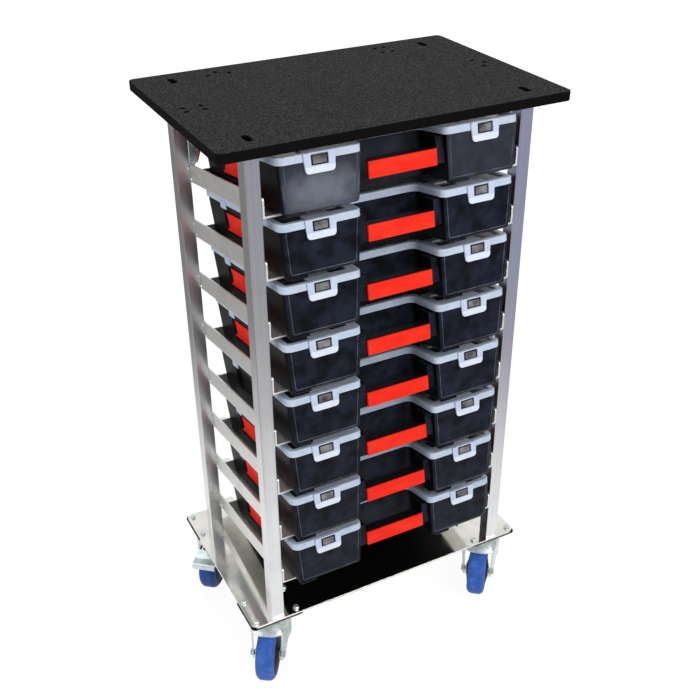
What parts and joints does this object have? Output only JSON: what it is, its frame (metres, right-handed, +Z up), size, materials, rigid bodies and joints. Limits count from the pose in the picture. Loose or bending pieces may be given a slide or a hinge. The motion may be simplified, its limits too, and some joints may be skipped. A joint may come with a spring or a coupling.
{
  "type": "parts cart",
  "caption": "Rolling parts cart: worktop on a square-tube frame whose sloping rails carry lidded organiser cases, on a base plate with swivel casters.",
  "frame": {"origin": "on the floor, under the middle of the whole cart's bounding box", "axes": "+Z up, the case fronts face -Y, +X to the right of someone who faces the fronts"},
  "size_m": [0.6184, 0.4138, 1.054],
  "materials": {
    "speckled_board": "fine speckled grain",
    "aluminium": "mill finish, lightly brushed",
    "bright_plate": "mirror bright sheet",
    "black_plastic": "fine grained moulding",
    "lid_plastic": "translucent moulding",
    "red_plastic": "smooth moulding",
    "zinc": "bright zinc plating",
    "blue_tyre": "cast polyurethane"
  },
  "bodies": {
    "frame": {"worktop": "speckled_board", "base_plate": "bright_plate", "left_side_frame": "aluminium", "right_side_frame": "aluminium", "front_left_caster_mount": "zinc", "front_right_caster_mount": "zinc", "rear_left_caster_mount": "zinc", "rear_right_caster_mount": "zinc"},
    "case_1": {"case_1_tray": "black_plastic", "case_1_lid": "lid_plastic", "case_1_grip": "red_plastic"},
    "case_1_latch_left": {"case_1_latch_left": "lid_plastic"},
    "case_1_latch_right": {"case_1_latch_right": "lid_plastic"},
    "case_2": {"case_2_tray": "black_plastic", "case_2_lid": "lid_plastic", "case_2_grip": "red_plastic"},
    "case_2_latch_left": {"case_2_latch_left": "lid_plastic"},
    "case_2_latch_right": {"case_2_latch_right": "lid_plastic"},
    "case_3": {"case_3_tray": "black_plastic", "case_3_lid": "lid_plastic", "case_3_grip": "red_plastic"},
    "case_3_latch_left": {"case_3_latch_left": "lid_plastic"},
    "case_3_latch_right": {"case_3_latch_right": "lid_plastic"},
    "case_4": {"case_4_tray": "black_plastic", "case_4_lid": "lid_plastic", "case_4_grip": "red_plastic"},
    "case_4_latch_left": {"case_4_latch_left": "lid_plastic"},
    "case_4_latch_right": {"case_4_latch_right": "lid_plastic"},
    "case_5": {"case_5_tray": "black_plastic", "case_5_lid": "lid_plastic", "case_5_grip": "red_plastic"},
    "case_5_latch_left": {"case_5_latch_left": "lid_plastic"},
    "case_5_latch_right": {"case_5_latch_right": "lid_plastic"},
    "case_6": {"case_6_tray": "black_plastic", "case_6_lid": "lid_plastic", "case_6_grip": "red_plastic"},
    "case_6_latch_left": {"case_6_latch_left": "lid_plastic"},
    "case_6_latch_right": {"case_6_latch_right": "lid_plastic"},
    "case_7": {"case_7_tray": "black_plastic", "case_7_lid": "lid_plastic", "case_7_grip": "red_plastic"},
    "case_7_latch_left": {"case_7_latch_left": "lid_plastic"},
    "case_7_latch_right": {"case_7_latch_right": "lid_plastic"},
    "case_8": {"case_8_tray": "black_plastic", "case_8_lid": "lid_plastic", "case_8_grip": "red_plastic"},
    "case_8_latch_left": {"case_8_latch_left": "lid_plastic"},
    "case_8_latch_right": {"case_8_latch_right": "lid_plastic"},
    "front_left_caster_fork": {"front_left_caster_fork": "zinc"},
    "front_left_caster_wheel": {"front_left_caster_wheel": "blue_tyre"},
    "front_right_caster_fork": {"front_right_caster_fork": "zinc"},
    "front_right_caster_wheel": {"front_right_caster_wheel": "blue_tyre"},
    "rear_left_caster_fork": {"rear_left_caster_fork": "zinc"},
    "rear_left_caster_wheel": {"rear_left_caster_wheel": "blue_tyre"},
    "rear_left_brake_pedal": {"rear_left_brake_pedal": "zinc"},
    "rear_right_caster_fork": {"rear_right_caster_fork": "zinc"},
    "rear_right_caster_wheel": {"rear_right_caster_wheel": "blue_tyre"},
    "rear_right_brake_pedal": {"rear_right_brake_pedal": "zinc"}
  },
  "joints": [
    {"name": "case_1_slide", "type": "slide", "parent": "frame", "child": "case_1", "axis": [0, -0.986, 0.1668], "range_m": [0, 0.28]},
    {"name": "case_1_latch_left_hinge", "type": "hinge", "parent": "case_1", "child": "case_1_latch_left", "pos_m": [-0.13284, -0.18219, 1.02687], "axis": [-1, 0, 0], "range_deg": [0, 80]},
    {"name": "case_1_latch_right_hinge", "type": "hinge", "parent": "case_1", "child": "case_1_latch_right", "pos_m": [0.15116, -0.18219, 1.02687], "axis": [-1, 0, 0], "range_deg": [0, 80]},
    {"name": "case_2_slide", "type": "slide", "parent": "frame", "child": "case_2", "axis": [0, -0.986, 0.1668], "range_m": [0, 0.28]},
    {"name": "case_2_latch_left_hinge", "type": "hinge", "parent": "case_2", "child": "case_2_latch_left", "pos_m": [-0.13284, -0.18219, 0.92427], "axis": [-1, 0, 0], "range_deg": [0, 80]},
    {"name": "case_2_latch_right_hinge", "type": "hinge", "parent": "case_2", "child": "case_2_latch_right", "pos_m": [0.15116, -0.18219, 0.92427], "axis": [-1, 0, 0], "range_deg": [0, 80]},
    {"name": "case_3_slide", "type": "slide", "parent": "frame", "child": "case_3", "axis": [0, -0.986, 0.1668], "range_m": [0, 0.28]},
    {"name": "case_3_latch_left_hinge", "type": "hinge", "parent": "case_3", "child": "case_3_latch_left", "pos_m": [-0.13284, -0.18219, 0.82167], "axis": [-1, 0, 0], "range_deg": [0, 80]},
    {"name": "case_3_latch_right_hinge", "type": "hinge", "parent": "case_3", "child": "case_3_latch_right", "pos_m": [0.15116, -0.18219, 0.82167], "axis": [-1, 0, 0], "range_deg": [0, 80]},
    {"name": "case_4_slide", "type": "slide", "parent": "frame", "child": "case_4", "axis": [0, -0.986, 0.1668], "range_m": [0, 0.28]},
    {"name": "case_4_latch_left_hinge", "type": "hinge", "parent": "case_4", "child": "case_4_latch_left", "pos_m": [-0.13284, -0.18219, 0.71907], "axis": [-1, 0, 0], "range_deg": [0, 80]},
    {"name": "case_4_latch_right_hinge", "type": "hinge", "parent": "case_4", "child": "case_4_latch_right", "pos_m": [0.15116, -0.18219, 0.71907], "axis": [-1, 0, 0], "range_deg": [0, 80]},
    {"name": "case_5_slide", "type": "slide", "parent": "frame", "child": "case_5", "axis": [0, -0.986, 0.1668], "range_m": [0, 0.28]},
    {"name": "case_5_latch_left_hinge", "type": "hinge", "parent": "case_5", "child": "case_5_latch_left", "pos_m": [-0.13284, -0.18219, 0.61647], "axis": [-1, 0, 0], "range_deg": [0, 80]},
    {"name": "case_5_latch_right_hinge", "type": "hinge", "parent": "case_5", "child": "case_5_latch_right", "pos_m": [0.15116, -0.18219, 0.61647], "axis": [-1, 0, 0], "range_deg": [0, 80]},
    {"name": "case_6_slide", "type": "slide", "parent": "frame", "child": "case_6", "axis": [0, -0.986, 0.1668], "range_m": [0, 0.28]},
    {"name": "case_6_latch_left_hinge", "type": "hinge", "parent": "case_6", "child": "case_6_latch_left", "pos_m": [-0.13284, -0.18219, 0.51387], "axis": [-1, 0, 0], "range_deg": [0, 80]},
    {"name": "case_6_latch_right_hinge", "type": "hinge", "parent": "case_6", "child": "case_6_latch_right", "pos_m": [0.15116, -0.18219, 0.51387], "axis": [-1, 0, 0], "range_deg": [0, 80]},
    {"name": "case_7_slide", "type": "slide", "parent": "frame", "child": "case_7", "axis": [0, -0.986, 0.1668], "range_m": [0, 0.28]},
    {"name": "case_7_latch_left_hinge", "type": "hinge", "parent": "case_7", "child": "case_7_latch_left", "pos_m": [-0.13284, -0.18219, 0.41127], "axis": [-1, 0, 0], "range_deg": [0, 80]},
    {"name": "case_7_latch_right_hinge", "type": "hinge", "parent": "case_7", "child": "case_7_latch_right", "pos_m": [0.15116, -0.18219, 0.41127], "axis": [-1, 0, 0], "range_deg": [0, 80]},
    {"name": "case_8_slide", "type": "slide", "parent": "frame", "child": "case_8", "axis": [0, -0.986, 0.1668], "range_m": [0, 0.28]},
    {"name": "case_8_latch_left_hinge", "type": "hinge", "parent": "case_8", "child": "case_8_latch_left", "pos_m": [-0.13284, -0.18219, 0.30867], "axis": [-1, 0, 0], "range_deg": [0, 80]},
    {"name": "case_8_latch_right_hinge", "type": "hinge", "parent": "case_8", "child": "case_8_latch_right", "pos_m": [0.15116, -0.18219, 0.30867], "axis": [-1, 0, 0], "range_deg": [0, 80]},
    {"name": "front_left_swivel", "type": "hinge", "parent": "frame", "child": "front_left_caster_fork", "pos_m": [-0.22984, -0.12612, 0.118], "axis": [0, 0, 1], "continuous": true},
    {"name": "front_left_wheel_spin", "type": "hinge", "parent": "front_left_caster_fork", "child": "front_left_caster_wheel", "pos_m": [-0.25221, -0.15928, 0.05], "axis": [0.829, -0.5592, 0], "continuous": true},
    {"name": "front_right_swivel", "type": "hinge", "parent": "frame", "child": "front_right_caster_fork", "pos_m": [0.24816, -0.12612, 0.118], "axis": [0, 0, 1], "continuous": true},
    {"name": "front_right_wheel_spin", "type": "hinge", "parent": "front_right_caster_fork", "child": "front_right_caster_wheel", "pos_m": [0.22245, -0.15676, 0.05], "axis": [0.766, -0.6428, 0], "continuous": true},
    {"name": "rear_left_swivel", "type": "hinge", "parent": "frame", "child": "rear_left_caster_fork", "pos_m": [-0.22984, 0.15088, 0.118], "axis": [0, 0, 1], "continuous": true},
    {"name": "rear_left_wheel_spin", "type": "hinge", "parent": "rear_left_caster_fork", "child": "rear_left_caster_wheel", "pos_m": [-0.25502, 0.1198, 0.05], "axis": [0.7771, -0.6293, 0], "continuous": true},
    {"name": "rear_left_brake_hinge", "type": "hinge", "parent": "rear_left_caster_fork", "child": "rear_left_brake_pedal", "pos_m": [-0.23488, 0.14466, 0.0965], "axis": [0.7771, -0.6293, 0], "range_deg": [0, 4]},
    {"name": "rear_right_swivel", "type": "hinge", "parent": "frame", "child": "rear_right_caster_fork", "pos_m": [0.24816, 0.15088, 0.118], "axis": [0, 0, 1], "continuous": true},
    {"name": "rear_right_wheel_spin", "type": "hinge", "parent": "rear_right_caster_fork", "child": "rear_right_caster_wheel", "pos_m": [0.22696, 0.11696, 0.05], "axis": [0.848, -0.5299, 0], "continuous": true},
    {"name": "rear_right_brake_hinge", "type": "hinge", "parent": "rear_right_caster_fork", "child": "rear_right_brake_pedal", "pos_m": [0.24392, 0.1441, 0.0965], "axis": [0.848, -0.5299, 0], "range_deg": [0, 4]}
  ]
}
